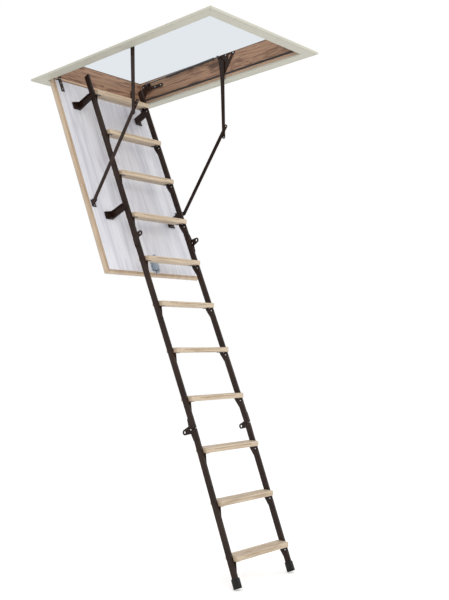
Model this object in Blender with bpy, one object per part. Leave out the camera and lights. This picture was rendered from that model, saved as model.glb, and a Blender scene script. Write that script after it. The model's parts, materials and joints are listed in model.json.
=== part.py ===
"""Folding attic ladder: a wooden hatch box with an insulated lid and a three-section ladder.

Frame: the ceiling plane is z = 0, X is across the hatch with x = 0 the plane of symmetry, and the
opening runs towards -Y. The origin is in the middle of the top of the hinge-end trim board, where it
presses on the ceiling. Below, places are first measured from the hinge end's inner wall, and the
"hatch" empty moves them all to that origin. The ladder is shown open.
Everything on the lid is laid out on a closed lid first (the lid lies flat, its free end at -Y),
and then the whole lid turns down about its hinge line through the working slope.
"""
import bmesh
import bpy
from math import acos, atan2, cos, hypot, pi, radians, sin
from mathutils import Matrix, Vector

GAP = 0.0003                     # clearance kept between touching pieces
ORIGIN_Y = 0.041                 # from the hinge end's inner wall out to the origin

# Hatch box and ceiling trim
BOX_INNER_X = 0.334              # half the clear width
BOX_INNER_Y = 1.168              # clear length
WALL = 0.016
BOX_HEIGHT = 0.130
TRIM_OUTER_X = 0.400
TRIM_INNER_X = 0.3365
TRIM_MARGIN_Y = 0.066            # trim beyond the clear length at the hinge end and at the latch end
TRIM_LIP_Y = 0.0025              # trim's inner edge behind the wall's inner face
TRIM_THICK = 0.010
SEAL_REACH = 0.005
SEAL_LOW, SEAL_HIGH = 0.014, 0.022

# Lid, laid out from the hinge line; "along" runs to the free end and "up" into the attic
HINGE_Y, HINGE_Z = -0.005, -0.002
SLOPE = radians(68.9)
LID_HALF_X = 0.328
LID_START, LID_END = 0.004, 1.155
LID_BACK = -0.008                # outer face, level with the trim when closed
SKIN = 0.003
LEDGE = 0.010                    # rebate around the inner panel
LEDGE_UP = 0.016
PANEL_UP = 0.028                 # inner face of the lid
RIM = 0.030
BOLT_LOW, BOLT_HIGH = 0.029, 0.041

# Lid hinges: the wall half reaches from the first place to the second, and the lid half to the third
KNUCKLE, PIN, STRAP = 0.0032, 0.0015, 0.002
HINGE_X = (0.253, 0.275, 0.297)

# Ladder: positions are along the stiles from tread 1, and off the stiles' middle plane
TREAD1_ALONG = 0.158
STILE_UP = 0.1386                # stiles' middle plane over the hinge line
SPACING = 0.247
STILE_DEPTH, STILE_WIDTH, STILE_WALL = 0.030, 0.015, 0.0015
LADDER_HALF_X = 0.200
TREAD_FRONT, TREAD_BACK, TREAD_THICK = 0.034, 0.036, 0.024
TOP_END = -0.120
FOLD_1, FOLD_1_OUT = 0.858, 0.046        # first fold's pivot, on the climber's side
FOLD_2, FOLD_2_OUT = 1.862, -0.052       # second fold's pivot, on the lid side
BOTTOM_SLACK = radians(2.0)              # the bottom section hangs this much steeper
FOOT_END = 2.590
TREADS = {"upper": range(1, 5), "middle": range(5, 9), "bottom": range(9, 12)}

# Stay arms, in the planes beside the lid: pivots at rest as (y, z)
ARM_FRAME_PIVOT = (-0.655, 0.084)
ARM_KNEE = (-0.650, -0.300)
ARM_LID_PIVOT = (-0.343, -0.700)
UPPER_ARM_WIDTH, KNEE_WIDTH, LOWER_ARM_WIDTH = 0.027, 0.019, 0.021
ARM_THICK, ARM_TAIL = 0.004, 0.034
UPPER_ARM_X, LOWER_ARM_X = 0.3245, 0.3190    # inner faces
STRUT_X = 0.3205
STRUT_ANCHOR = (-0.075, 0.106)
LEVER = (0.025, 0.035)           # strut's ball on the upper arm, from the frame pivot

COLOURS = {
    "pine": ((0.42, 0.24, 0.15), 0.6, 0.0),
    "beech": ((0.70, 0.58, 0.42), 0.5, 0.0),
    "trim_paint": ((0.62, 0.60, 0.52), 0.5, 0.0),
    "panel_white": ((0.78, 0.79, 0.83), 0.4, 0.0),
    "foam": ((0.85, 0.85, 0.80), 0.9, 0.0),
    "rubber": ((0.02, 0.02, 0.02), 0.8, 0.0),
    "brown_steel": ((0.045, 0.033, 0.027), 0.4, 0.6),
    "zinc": ((0.55, 0.57, 0.60), 0.35, 1.0),
    "plastic": ((0.015, 0.015, 0.015), 0.5, 0.0),
}

for old in list(bpy.data.objects):
    bpy.data.objects.remove(old, do_unlink=True)
parts = bpy.data.collections.new("attic_ladder")
cutters = bpy.data.collections.new("cutters")
for made in (parts, cutters):
    bpy.context.scene.collection.children.link(made)
hatch = bpy.data.objects.new("hatch", None)
parts.objects.link(hatch)
hatch.location.y = -ORIGIN_Y


def material(slot):
    """The plain material of one finish, made the first time it is asked for."""
    found = bpy.data.materials.get(slot)
    if found:
        return found
    colour, rough, metal = COLOURS[slot]
    made = bpy.data.materials.new(slot)
    made.use_nodes = True
    shader = made.node_tree.nodes["Principled BSDF"]
    shader.inputs["Base Color"].default_value = (*colour, 1.0)
    shader.inputs["Roughness"].default_value = rough
    shader.inputs["Metallic"].default_value = metal
    return made


def add(name, mesh, slot, parent=None, spot=(0, 0, 0), turn=(0, 0, 0), cutter=False):
    """Put a mesh or curve in the scene as a named sub-part, or as a hidden cutter."""
    made = bpy.data.objects.new(name, mesh)
    (cutters if cutter else parts).objects.link(made)
    made.parent = parent or hatch
    made.location = spot
    made.rotation_euler = turn
    if cutter:
        made.hide_render = True
        made.display_type = "WIRE"
    elif slot:
        mesh.materials.append(material(slot))
    return made


def frame_at(name, spot, angle, parent=None):
    """An empty on a joint's axis, turned about X."""
    made = bpy.data.objects.new(name, None)
    parts.objects.link(made)
    made.parent = parent or hatch
    made.location = spot
    made.rotation_euler = (angle, 0, 0)
    return made


def box_mesh(name, low, high):
    """A cube primitive stretched between two corners."""
    mesh = bpy.data.meshes.new(name)
    shape = bmesh.new()
    bmesh.ops.create_cube(shape, size=1.0)
    size = Vector(high) - Vector(low)
    middle = (Vector(high) + Vector(low)) / 2
    bmesh.ops.transform(shape, verts=shape.verts, matrix=Matrix.Translation(middle) @ Matrix.Diagonal((*size, 1)))
    shape.to_mesh(mesh)
    shape.free()
    return mesh


def block(name, low, high, slot="", parent=None, cutter=False):
    return add(name, box_mesh(name, low, high), slot, parent, cutter=cutter)


def round_bar(name, start, end, radius, slot="", parent=None, sides=20, cutter=False):
    """A cylinder primitive between two points."""
    run = Vector(end) - Vector(start)
    mesh = bpy.data.meshes.new(name)
    shape = bmesh.new()
    bmesh.ops.create_cone(shape, cap_ends=True, segments=sides, radius1=radius, radius2=radius, depth=run.length)
    turn = run.to_track_quat("Z", "X").to_matrix().to_4x4()
    bmesh.ops.transform(shape, verts=shape.verts, matrix=Matrix.Translation((Vector(start) + Vector(end)) / 2) @ turn)
    shape.to_mesh(mesh)
    shape.free()
    mesh.shade_smooth()
    mesh.set_sharp_from_angle(angle=radians(40))
    return add(name, mesh, slot, parent, cutter=cutter)


def arc(centre, radius, start, end, steps):
    """Points on an arc, by angles in degrees."""
    return [(centre[0] + radius * cos(radians(start + (end - start) * i / steps)),
             centre[1] + radius * sin(radians(start + (end - start) * i / steps))) for i in range(steps + 1)]


def ring(centre, radius, sides=16):
    return arc(centre, radius, 0, 360, sides)[:-1]


def rectangle(x0, y0, x1, y1):
    return [(x0, y0), (x1, y0), (x1, y1), (x0, y1)]


def extruded(name, outlines, thick):
    """A flat outline, with its holes, drawn on XY and given a thickness along Z, as a closed mesh."""
    curve = bpy.data.curves.new(name, "CURVE")
    curve.dimensions = "2D"
    curve.fill_mode = "BOTH"
    curve.extrude = thick / 2
    for outline in outlines:
        spline = curve.splines.new("POLY")
        spline.points.add(len(outline) - 1)
        for point, (u, v) in zip(spline.points, outline):
            point.co = (u, v, 0, 1)
        spline.use_cyclic_u = True
    drawn = bpy.data.objects.new(name, curve)
    parts.objects.link(drawn)
    bpy.context.view_layer.update()
    mesh = bpy.data.meshes.new_from_object(drawn.evaluated_get(bpy.context.evaluated_depsgraph_get()))
    bpy.data.objects.remove(drawn)
    bpy.data.curves.remove(curve)
    mesh.materials.clear()
    shape = bmesh.new()
    shape.from_mesh(mesh)
    bmesh.ops.remove_doubles(shape, verts=shape.verts, dist=0.00002)
    shape.to_mesh(mesh)
    shape.free()
    return mesh


ACROSS = Matrix(((0, 0, 1, 0), (1, 0, 0, 0), (0, 1, 0, 0), (0, 0, 0, 1)))     # drawn (y, z), thick along X
ALONG = Matrix(((1, 0, 0, 0), (0, 0, -1, 0), (0, 1, 0, 0), (0, 0, 0, 1)))     # drawn (x, z), thick along Y


def plate(name, outlines, start, end, slot="", parent=None, facing=ACROSS, cutter=False):
    """A flat plate from an outline, between two places on the axis that it is thick along."""
    mesh = extruded(name, outlines, abs(end - start))
    shift = Matrix.Translation(facing.to_3x3() @ Vector((0, 0, (start + end) / 2 * (1 if facing is ACROSS else -1))))
    mesh.transform(shift @ facing)
    return add(name, mesh, slot, parent, cutter=cutter)


def cut(target, cutter, operation="DIFFERENCE"):
    change = target.modifiers.new(operation.lower(), "BOOLEAN")
    change.operation = operation
    change.solver = "EXACT"
    change.object = cutter


def gathered(name, members, parent):
    """Several finished shapes in one cutter, so that a single union welds them all on."""
    bpy.context.view_layer.update()
    graph = bpy.context.evaluated_depsgraph_get()
    shape = bmesh.new()
    for member in members:
        mesh = bpy.data.meshes.new_from_object(member.evaluated_get(graph))
        mesh.transform(member.matrix_local)
        shape.from_mesh(mesh)
        bpy.data.meshes.remove(mesh)
    joined = bpy.data.meshes.new(name)
    shape.to_mesh(joined)
    shape.free()
    for member in members:
        bpy.data.objects.remove(member)
    return add(name, joined, "", parent, cutter=True)


def sides():
    return (("left", -1), ("right", 1))


def span(side, near, far):
    """Two places either side of the middle plane, in rising order."""
    return sorted((side * near, side * far))


# ---- Hatch box, trim and seal -------------------------------------------------------------

def hatch_box():
    for name, side in sides():
        low, high = span(side, BOX_INNER_X, BOX_INNER_X + WALL)
        block(f"frame_wall_{name}", (low, -BOX_INNER_Y - WALL, GAP), (high, WALL, BOX_HEIGHT), "pine")
    reach = BOX_INNER_X - GAP
    block("frame_wall_hinge_end", (-reach, 0, GAP), (reach, WALL, BOX_HEIGHT), "pine")
    wall = block("frame_wall_latch_end", (-reach, -BOX_INNER_Y - WALL, GAP), (reach, -BOX_INNER_Y, BOX_HEIGHT), "pine")
    low, high = (HINGE_Z + up for up in (BOLT_LOW, BOLT_HIGH))
    mortice = block("mortice", (-0.0095, -BOX_INNER_Y - 0.013, low - 0.0015),
                    (0.0095, -BOX_INNER_Y + 0.01, high + 0.0015), cutter=True)
    cut(wall, mortice)


def ceiling_trim():
    """The mitred boards that cover the joint with the ceiling, glued up as one frame."""
    back, front = TRIM_MARGIN_Y, -BOX_INNER_Y - TRIM_MARGIN_Y
    inner_back, inner_front = TRIM_LIP_Y, -BOX_INNER_Y - TRIM_LIP_Y
    outline = rectangle(-TRIM_OUTER_X, front, TRIM_OUTER_X, back)
    window = rectangle(-TRIM_INNER_X, inner_front, TRIM_INNER_X, inner_back)
    trim = add("ceiling_trim", extruded("ceiling_trim", [outline, window], TRIM_THICK), "trim_paint")
    trim.location.z = -TRIM_THICK / 2


def lid_seal():
    """A rubber strip around the inside of the box; it runs over the hinge leaves, so it is thinner there."""
    back, front = -GAP, -BOX_INNER_Y + GAP
    x = BOX_INNER_X - GAP
    over = -STRAP - 3 * GAP
    near, far = HINGE_X[0] - 0.0008, HINGE_X[1]
    outline = [(x, front), (x, back), (far, back), (far, over), (near, over), (near, back),
               (-near, back), (-near, over), (-far, over), (-far, back), (-x, back), (-x, front)]
    inside = BOX_INNER_X - SEAL_REACH
    window = rectangle(-inside, -BOX_INNER_Y + SEAL_REACH, inside, -SEAL_REACH)
    seal = add("lid_seal", extruded("lid_seal", [outline, window], SEAL_HIGH - SEAL_LOW), "rubber")
    seal.location.z = (SEAL_LOW + SEAL_HIGH) / 2


# ---- Lid ----------------------------------------------------------------------------------

def lid_box(name, x, low, high, up, slot, parent, cutter=False):
    """A block on the lid: half width, from and to along the lid, and (low, high) up."""
    return block(name, (-x, -high, up[0]), (x, -low, up[1]), slot, parent, cutter)


def lid(on_lid):
    lid_box("lid_outer_skin", LID_HALF_X, LID_START, LID_END, (LID_BACK, LID_BACK + SKIN), "panel_white", on_lid)
    inset = LEDGE + GAP
    lid_box("lid_inner_panel", LID_HALF_X - inset, LID_START + inset, LID_END - inset,
            (PANEL_UP - SKIN, PANEL_UP), "panel_white", on_lid)
    low, high = LID_BACK + SKIN + GAP, PANEL_UP - SKIN - GAP
    lid_box("lid_insulation", LID_HALF_X - RIM - GAP, LID_START + RIM + GAP, LID_END - RIM - GAP,
            (low, high), "foam", on_lid)
    outline = rectangle(-LID_HALF_X, -LID_END, LID_HALF_X, -LID_START)
    window = rectangle(-LID_HALF_X + RIM, -LID_END + RIM, LID_HALF_X - RIM, -LID_START - RIM)
    rim = add("lid_rim", extruded("lid_rim", [outline, window], high - low), "beech", on_lid)
    rim.location.z = (low + high) / 2
    rebate = extruded("rebate", [rectangle(-LID_HALF_X - 0.01, -LID_END - 0.01, LID_HALF_X + 0.01, -LID_START + 0.01),
                                 rectangle(-LID_HALF_X + LEDGE, -LID_END + LEDGE, LID_HALF_X - LEDGE,
                                           -LID_START - LEDGE)], 0.02)
    cut(rim, add("rim_rebate", rebate, "", on_lid, (0, 0, LEDGE_UP + 0.01), cutter=True))


def lid_hinges(on_lid):
    """Two loose-pin hinges; the wall half and the lid half stand side by side on the pin."""
    bore = ring((0, 0), 0.0019, 12)
    meet = acos((-HINGE_Y - GAP - STRAP) / KNUCKLE) * 180 / pi
    wall_half = ([(-HINGE_Y - GAP, 0.067), (-HINGE_Y - GAP - STRAP, 0.067)] + arc((0, 0), KNUCKLE, meet, 270, 12)
                 + [(-HINGE_Y - GAP, -KNUCKLE)])
    face = LID_START - GAP
    lid_meet = 180 - acos((face - STRAP) / KNUCKLE) * 180 / pi
    strap_up = PANEL_UP + GAP
    lid_half = (arc((0, 0), KNUCKLE, -90, lid_meet, 12) + [(-face + STRAP, strap_up + STRAP), (-0.085, strap_up + STRAP),
                (-0.085, strap_up), (-face, strap_up), (-face, -KNUCKLE)])
    axis_frame = frame_at("lid_hinge_axis", (0, HINGE_Y, HINGE_Z), 0)
    for name, side in sides():
        inner, middle, outer = (side * x for x in HINGE_X)
        half_gap = side * 0.0005
        plate(f"lid_hinge_wall_leaf_{name}", [wall_half, bore], inner, middle - half_gap, "brown_steel", axis_frame)
        plate(f"lid_hinge_strap_{name}", [lid_half, bore], middle + half_gap, outer, "brown_steel", on_lid)
        round_bar(f"lid_hinge_pin_{name}", (inner - side * 0.002, 0, 0), (outer + side * 0.002, 0, 0), PIN, "zinc",
                  axis_frame, 12)


def latch(on_lid):
    """A sliding bolt in a channel on the inner panel, and its strike plate on the box."""
    base = PANEL_UP + GAP
    channel = [(-0.027, base), (-0.0075, base), (-0.0075, base + 0.0130), (0.0075, base + 0.0130), (0.0075, base),
               (0.027, base), (0.027, base + 0.002), (0.0170, base + 0.002), (0.0120, base + 0.0180),
               (-0.0120, base + 0.0180), (-0.0170, base + 0.002), (-0.027, base + 0.002)]
    plate("latch_housing", [channel], -1.136, -1.086, "zinc", on_lid, ALONG)
    bolt = block("latch_bolt", (-0.007, -1.150, BOLT_LOW), (0.007, -1.058, BOLT_HIGH), "zinc", on_lid)
    knob = round_bar("bolt_knob", (0, -1.0545, base + 0.004), (0, -1.0545, base + 0.024), 0.007, "", on_lid, 16, True)
    cut(bolt, knob, "UNION")
    wall = -BOX_INNER_Y
    low, high = HINGE_Z + BOLT_LOW, HINGE_Z + BOLT_HIGH
    outline = rectangle(-0.024, low - 0.004, 0.024, high + 0.006)
    slot = rectangle(-0.009, low - 0.001, 0.009, high + 0.001)
    plate("strike_plate", [outline, slot], wall + GAP, wall + GAP + 0.002, "zinc", None, ALONG)


# ---- Ladder sections ----------------------------------------------------------------------

def tube_profile():
    """A rectangular tube: rounded outline and the hollow inside it."""
    outlines = []
    for inset, radius in ((0.0, 0.003), (STILE_WALL, 0.0015)):
        x, z = STILE_WIDTH / 2 - inset - radius, STILE_DEPTH / 2 - inset - radius
        outlines.append([point for start, sx, sz in ((0, 1, 1), (90, -1, 1), (180, -1, -1), (270, 1, -1))
                         for point in arc((sx * x, sz * z), radius, start, start + 90, 2)])
    return outlines


def stile(section, name, side, start, end, on_section, shift, welded):
    """A tube from start to end, as distances along the ladder, with its brackets welded on."""
    x = side * (LADDER_HALF_X - STILE_WIDTH / 2)
    outlines = [[(u + x, v - shift[1]) for u, v in outline] for outline in tube_profile()]
    tube = plate(f"{section}_stile_{name}", outlines, -(end - shift[0]), -(start - shift[0]), "brown_steel",
                 on_section, ALONG)
    cut(tube, gathered(f"{section}_welds_{name}", welded, on_section), "UNION")


def tread_spot(number, shift):
    return Vector((0, -((number - 1) * SPACING - shift[0]), -shift[1]))


def treads(section, on_section, shift):
    """Treads stand level when the section is at the working slope."""
    reach = LADDER_HALF_X - STILE_WIDTH - GAP
    for number in TREADS[section]:
        level = frame_at(f"tread_{number}_level", tread_spot(number, shift), -SLOPE, on_section)
        block(f"tread_{number:02d}", (-reach, -TREAD_FRONT, 0), (reach, TREAD_BACK, TREAD_THICK), "beech", level)


def tread_brackets(section, name, side, on_section, shift):
    """A gusset under each tread's end, with a shelf that the tread lies on."""
    made = []
    face = LADDER_HALF_X - STILE_WIDTH
    for number in TREADS[section]:
        outline = [(-0.026, -0.0023), (0.024, -0.0023), (0.024, -0.008), (-0.004, -0.046), (-0.030, -0.046)]
        web = plate(f"web_{number}_{name}", [outline], side * (face - 0.002), side * (face + 0.0007), "", on_section)
        low, high = span(side, face - 0.026, face + 0.0007)
        shelf = block(f"shelf_{number}_{name}", (low, -0.026, -0.0023), (high, 0.024, -GAP), "", on_section, True)
        for piece in (web, shelf):
            piece.matrix_local = Matrix.Translation(tread_spot(number, shift)) @ Matrix.Rotation(-SLOPE, 4, "X")
        cut(web, shelf, "UNION")
        made.append(web)
    return made


WELD = 0.0007                     # how far a plate sinks into the tube it is welded to
LUG = 0.0135                      # fold lugs end in this radius round the pivot
FOLD_HOLE, FOLD_BARREL, FOLD_BORE = 0.0088, 0.0085, 0.0073
FIRST_LEAF = (0.2003, 0.2023)     # the upper and bottom sections' fold plates, out from the middle of the ladder
SECOND_LEAF = (0.2026, 0.2046)    # the middle section's, which lie against them


def fold_plate(name, pivot, way, on_middle, side, shift, on_section):
    """A hinge plate on a stile's outer face; way is 1 where it runs down the ladder from the pivot, else -1."""
    along, out = pivot
    lift = 1 if out > 0 else -1
    face = lift * STILE_DEPTH / 2
    reach = 0.052
    eye = [(u, out + lift * v) for u, v in arc((0, 0), LUG, 180, 20, 9)]
    outline = eye + [(0.018, face + lift * 0.003), (reach, face * 0.9), (reach, -face * 0.8), (0.002, -face * 0.8),
                     (0.002, face + lift * 0.001), (-LUG, face + lift * 0.001)]
    pad = rectangle(0.004, -0.8 * abs(face), reach - 0.001, 0.8 * abs(face))
    start, end = SECOND_LEAF if on_middle else FIRST_LEAF

    def drawn(points):
        return [(-(way * u + along - shift[0]), v - shift[1]) for u, v in points]

    leaf = plate(name, [drawn(outline), drawn(ring((0, out), FOLD_HOLE, 16))], side * start, side * end, "", on_section)
    weld = plate(f"pad_{name}", [drawn(pad)], side * (LADDER_HALF_X - WELD), side * (start + 0.0008), "", on_section,
                 ACROSS, True)
    cut(leaf, weld, "UNION")
    return leaf


def fold_pin(fold, name, side, pivot, on_section, shift):
    """A hollow rivet through both plates of a fold, turning with the middle section."""
    y, z = -(pivot[0] - shift[0]), pivot[1] - shift[1]

    def turned(part, start, end, radius, cutter=True):
        return round_bar(f"fold_{fold}_{part}_{name}", (side * start, y, z), (side * end, y, z), radius,
                         "" if cutter else "zinc", on_section, 16, cutter)

    pin = turned("pin", 0.1987, 0.2060, FOLD_BARREL, False)
    cut(pin, turned("inner_head", 0.1984, FIRST_LEAF[0] - GAP, 0.0105), "UNION")
    cut(pin, turned("outer_head", SECOND_LEAF[1] + GAP, 0.2064, 0.0105), "UNION")
    cut(pin, turned("bore", 0.190, 0.215, FOLD_BORE))


def feet(on_section, shift):
    """Rubber-soled caps that the bottom tubes end in."""
    for name, side in sides():
        x = side * (LADDER_HALF_X - STILE_WIDTH / 2)
        y, z = -(FOOT_END - shift[0]), -shift[1]
        half_x, half_z = STILE_WIDTH / 2 + 0.0028, STILE_DEPTH / 2 + 0.0028
        foot = block(f"foot_{name}", (x - half_x, y, z - half_z), (x + half_x, y + 0.045, z + half_z), "plastic", on_section)
        grip = GAP + STILE_DEPTH / 2
        socket = block(f"foot_socket_{name}", (x - STILE_WIDTH / 2 - GAP, y + 0.005, z - grip),
                       (x + STILE_WIDTH / 2 + GAP, y + 0.06, z + grip), "", on_section, True)
        cut(foot, socket)


def stile_brackets(on_lid):
    """Channel brackets that hold the upper stiles off the lid, one pair at each end of the section."""
    base, top = PANEL_UP + GAP, STILE_UP + STILE_DEPTH / 2 - 0.004
    for pair, along in (("upper", 0.165), ("lower", 0.836)):
        for name, side in sides():
            near = LADDER_HALF_X + GAP
            angle = [(near, base), (near + 0.046, base), (near + 0.046, base + 0.003), (near + 0.003, base + 0.003),
                     (near + 0.003, top), (near, top)]
            cheek = [(near + 0.001, base + 0.001), (near + 0.046, base + 0.001), (near + 0.044, base + 0.007),
                     (near + 0.012, base + 0.020), (near + 0.010, top - 0.030), (near + 0.001, top - 0.004)]
            angle = [(side * x, z) for x, z in angle][::side]
            cheek = [(side * x, z) for x, z in cheek][::side]
            bracket = plate(f"stile_bracket_{pair}_{name}", [angle], -along - 0.020, -along + 0.020, "brown_steel",
                            on_lid, ALONG)
            for place in (-0.020, 0.018):
                cheek_part = plate(f"cheek_{pair}_{name}_{place}", [cheek], -along + place, -along + place + 0.002, "",
                                   on_lid, ALONG, True)
                cut(bracket, cheek_part, "UNION")
            x = side * (near + 0.027)
            hole = round_bar(f"hole_{pair}_{name}", (x, -along, base - 0.01), (x, -along, base + 0.02), 0.004, "",
                             on_lid, 12, True)
            cut(bracket, hole)


# ---- Stay arms and struts -----------------------------------------------------------------

def bar_outline(start, end, width, tail, end_width=None):
    """A flat bar with round ends from start to end, carried on by tail past the end, and perhaps tapered."""
    run = Vector(end) - Vector(start)
    heading = atan2(run.y, run.x) * 180 / pi
    far = Vector(end) + run.normalized() * tail
    half = width / 2
    end_half = (end_width or width) / 2
    return arc(start, half, heading + 90, heading + 270, 6) + arc(tuple(far), end_half, heading - 90, heading + 90, 6)


def arms(on_lid_frame):
    """Upper arms hang from the box, lower arms stand on the lid, and they meet at the open knee."""
    pivot = Vector(ARM_FRAME_PIVOT)
    knee = Vector(ARM_KNEE)
    foot = Vector(ARM_LID_PIVOT)
    for name, side in sides():
        x0, x1 = side * UPPER_ARM_X, side * (UPPER_ARM_X + ARM_THICK)
        holder = frame_at(f"upper_arm_axis_{name}", (0, *pivot), 0)
        reach = knee - pivot
        end_hole = reach + reach.normalized() * (ARM_TAIL - 0.008)
        arm = plate(f"upper_arm_{name}", [bar_outline((0, 0), tuple(reach), UPPER_ARM_WIDTH, ARM_TAIL - 0.008, KNEE_WIDTH),
                                          ring((0, 0), 0.0046), ring(tuple(end_hole), 0.0035, 12)],
                    x0, x1, "brown_steel", holder)
        lever = plate(f"lever_{name}", [bar_outline((LEVER[0] * 0.32, LEVER[1] * 0.32), LEVER, 0.016, 0)], x0, x1, "", holder, ACROSS, True)
        cut(arm, lever, "UNION")
        rivet = round_bar(f"rivet_{name}", (side * (UPPER_ARM_X - 0.0011), *reach), (side * (UPPER_ARM_X + 0.003), *reach),
                          0.0055, "", holder, 12, True)
        cut(arm, rivet, "UNION")
        x0, x1 = side * LOWER_ARM_X, side * (LOWER_ARM_X + ARM_THICK)
        holder = frame_at(f"lower_arm_axis_{name}", (0, *foot), 0)
        reach = knee - foot
        unit = reach.normalized()
        lower = plate(f"lower_arm_{name}", [bar_outline((0, 0), tuple(reach), LOWER_ARM_WIDTH, ARM_TAIL),
                                            ring((0, 0), 0.0046), ring(tuple(reach + unit * 0.016), 0.0035, 12),
                                            ring(tuple(reach + unit * ARM_TAIL), 0.0035, 12)],
                      x0, x1, "brown_steel", holder)
        head = round_bar(f"knee_head_{name}", (side * (LOWER_ARM_X - 0.0025), *reach), (side * (LOWER_ARM_X + 0.002), *reach),
                         0.0065, "", holder, 12, True)
        cut(lower, head, "UNION")
    inverse = on_lid_frame.matrix_basis.inverted()
    spot = inverse @ Vector((0, *foot))
    for name, side in sides():
        x0, x1 = 0.3135, 0.3160
        height = PANEL_UP + GAP
        ear = ([(spot.y - 0.018, height + 0.001), (spot.y + 0.018, height + 0.001)]
               + arc((spot.y, spot.z), 0.011, 0, 180, 8))
        made = plate(f"lower_arm_foot_{name}", [ear], side * x0, side * x1, "brown_steel", on_lid_frame)
        low, high = span(side, 0.289, x1 - 0.0005)
        base = block(f"arm_foot_base_{name}", (low, spot.y - 0.020, height), (high, spot.y + 0.020, height + 0.0025),
                     "", on_lid_frame, True)
        cut(made, base, "UNION")
        pin = round_bar(f"arm_foot_pin_{name}", (side * (x0 + 0.001), spot.y, spot.z),
                        (side * 0.3240, spot.y, spot.z), 0.0042, "", on_lid_frame, 12, True)
        cut(made, pin, "UNION")


def arm_brackets():
    """Triangular plates on the long walls, each with the stub that an upper arm turns on."""
    y, z = ARM_FRAME_PIVOT
    for name, side in sides():
        x0, x1 = BOX_INNER_X - GAP - 0.003, BOX_INNER_X - GAP
        outline = [(y - 0.090, 0.127), (y + 0.032, 0.127), (y + 0.022, 0.030), (y - 0.016, 0.024)]
        window = [(y - 0.066, 0.119), (y - 0.042, 0.119), (y - 0.036, 0.085)]
        made = plate(f"arm_bracket_{name}", [outline, window], side * x0, side * x1, "brown_steel")
        stub = round_bar(f"arm_stub_{name}", (side * 0.3238, y, z), (side * (x0 + 0.001), y, z), 0.0042, "", None, 12, True)
        collar = round_bar(f"arm_collar_{name}", (side * 0.3292, y, z), (side * (x0 + 0.001), y, z), 0.009, "", None, 12, True)
        cut(made, stub, "UNION")
        cut(made, collar, "UNION")


def strut_run():
    """The strut's two balls, as vectors in the x = 0 plane."""
    start = Vector((0, *STRUT_ANCHOR))
    end = Vector((0, ARM_FRAME_PIVOT[0] + LEVER[0], ARM_FRAME_PIVOT[1] + LEVER[1]))
    return start, end


def struts():
    """Gas struts along the long walls: a rod from the hinge end, and a cylinder that slides on it."""
    start, end = strut_run()
    run = (end - start).normalized()
    for name, side in sides():
        offset = Vector((side * STRUT_X, 0, 0))
        y, z = STRUT_ANCHOR
        outline = [(y + 0.035, 0.030), (y + 0.055, 0.030), (y + 0.055, 0.112), (y + 0.010, 0.118), (y - 0.010, 0.118),
                   (y - 0.014, 0.090), (y - 0.110, 0.090), (y - 0.116, 0.080), (y - 0.110, 0.070), (y + 0.020, 0.070)]
        holes = [ring((y - 0.100 + 0.024 * i, 0.080), 0.0035, 10) for i in range(4)]
        x1 = BOX_INNER_X - GAP
        anchor = plate(f"strut_anchor_{name}", [outline] + holes, side * (x1 - 0.003), side * x1, "brown_steel")
        stud = round_bar(f"strut_stud_{name}", (side * (STRUT_X + 0.0073), y, z), (side * (x1 - 0.002), y, z), 0.0035, "",
                         None, 10, True)
        cut(anchor, stud, "UNION")
        rod = round_bar(f"strut_rod_{name}", start + offset, start + offset + run * 0.260, 0.0032, "zinc", None, 12)
        socket = round_bar(f"rod_socket_{name}", start + offset + Vector((side * -0.0065, 0, 0)),
                           start + offset + Vector((side * 0.0068, 0, 0)), 0.0075, "", None, 14, True)
        cut(rod, socket, "UNION")
        cylinder = round_bar(f"strut_cylinder_{name}", start + offset + run * 0.160, end + offset - run * 0.030, 0.0068,
                             "plastic", None, 14)
        bore = round_bar(f"cylinder_bore_{name}", start + offset + run * 0.150, start + offset + run * 0.400, 0.0040, "",
                         None, 12, True)
        neck = round_bar(f"cylinder_neck_{name}", end + offset - run * 0.040, end + offset, 0.0035, "", None, 10, True)
        ball = round_bar(f"cylinder_ball_{name}", end + Vector((side * (STRUT_X - 0.004), 0, 0)),
                         end + Vector((side * (STRUT_X + 0.0034), 0, 0)), 0.0075, "", None, 14, True)
        cut(cylinder, bore)
        cut(cylinder, neck, "UNION")
        cut(cylinder, ball, "UNION")
    

# ---- Assembly -----------------------------------------------------------------------------

def along_up(along, out):
    """A ladder position as the closed lid's own (y, z) from the hinge line."""
    return -(along + TREAD1_ALONG), STILE_UP + out


hatch_box()
ceiling_trim()
lid_seal()
arm_brackets()
struts()

on_lid = frame_at("lid_frame", (0, HINGE_Y, HINGE_Z), SLOPE)
lid(on_lid)
lid_hinges(on_lid)
latch(on_lid)
arms(on_lid)
stile_brackets(on_lid)

on_upper = frame_at("upper_section", (0, *along_up(0, 0)), 0, on_lid)
on_middle = frame_at("middle_section", (0, *along_up(FOLD_1, FOLD_1_OUT)), 0, on_lid)
on_bottom = frame_at("bottom_section", (0, *along_up(FOLD_2, FOLD_2_OUT)), BOTTOM_SLACK, on_lid)
sections = {"upper": (on_upper, (0.0, 0.0)), "middle": (on_middle, (FOLD_1, FOLD_1_OUT)),
            "bottom": (on_bottom, (FOLD_2, FOLD_2_OUT))}
runs = {"upper": (TOP_END, FOLD_1 - 0.0006), "middle": (FOLD_1 + 0.0006, FOLD_2 - 0.0006),
        "bottom": (FOLD_2 + 0.0006, FOOT_END - 0.006)}
folds = {1: (FOLD_1, FOLD_1_OUT), 2: (FOLD_2, FOLD_2_OUT)}
plates = {"upper": ((1, -1),), "middle": ((1, 1), (2, -1)), "bottom": ((2, 1),)}
for section, (empty, shift) in sections.items():
    treads(section, empty, shift)
    for name, side in sides():
        welded = tread_brackets(section, name, side, empty, shift)
        for fold, way in plates[section]:
            welded.append(fold_plate(f"{section}_fold_plate_{fold}_{name}", folds[fold], way, section == "middle",
                                     side, shift, empty))
        stile(section, name, side, *runs[section], empty, shift, welded)
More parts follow.
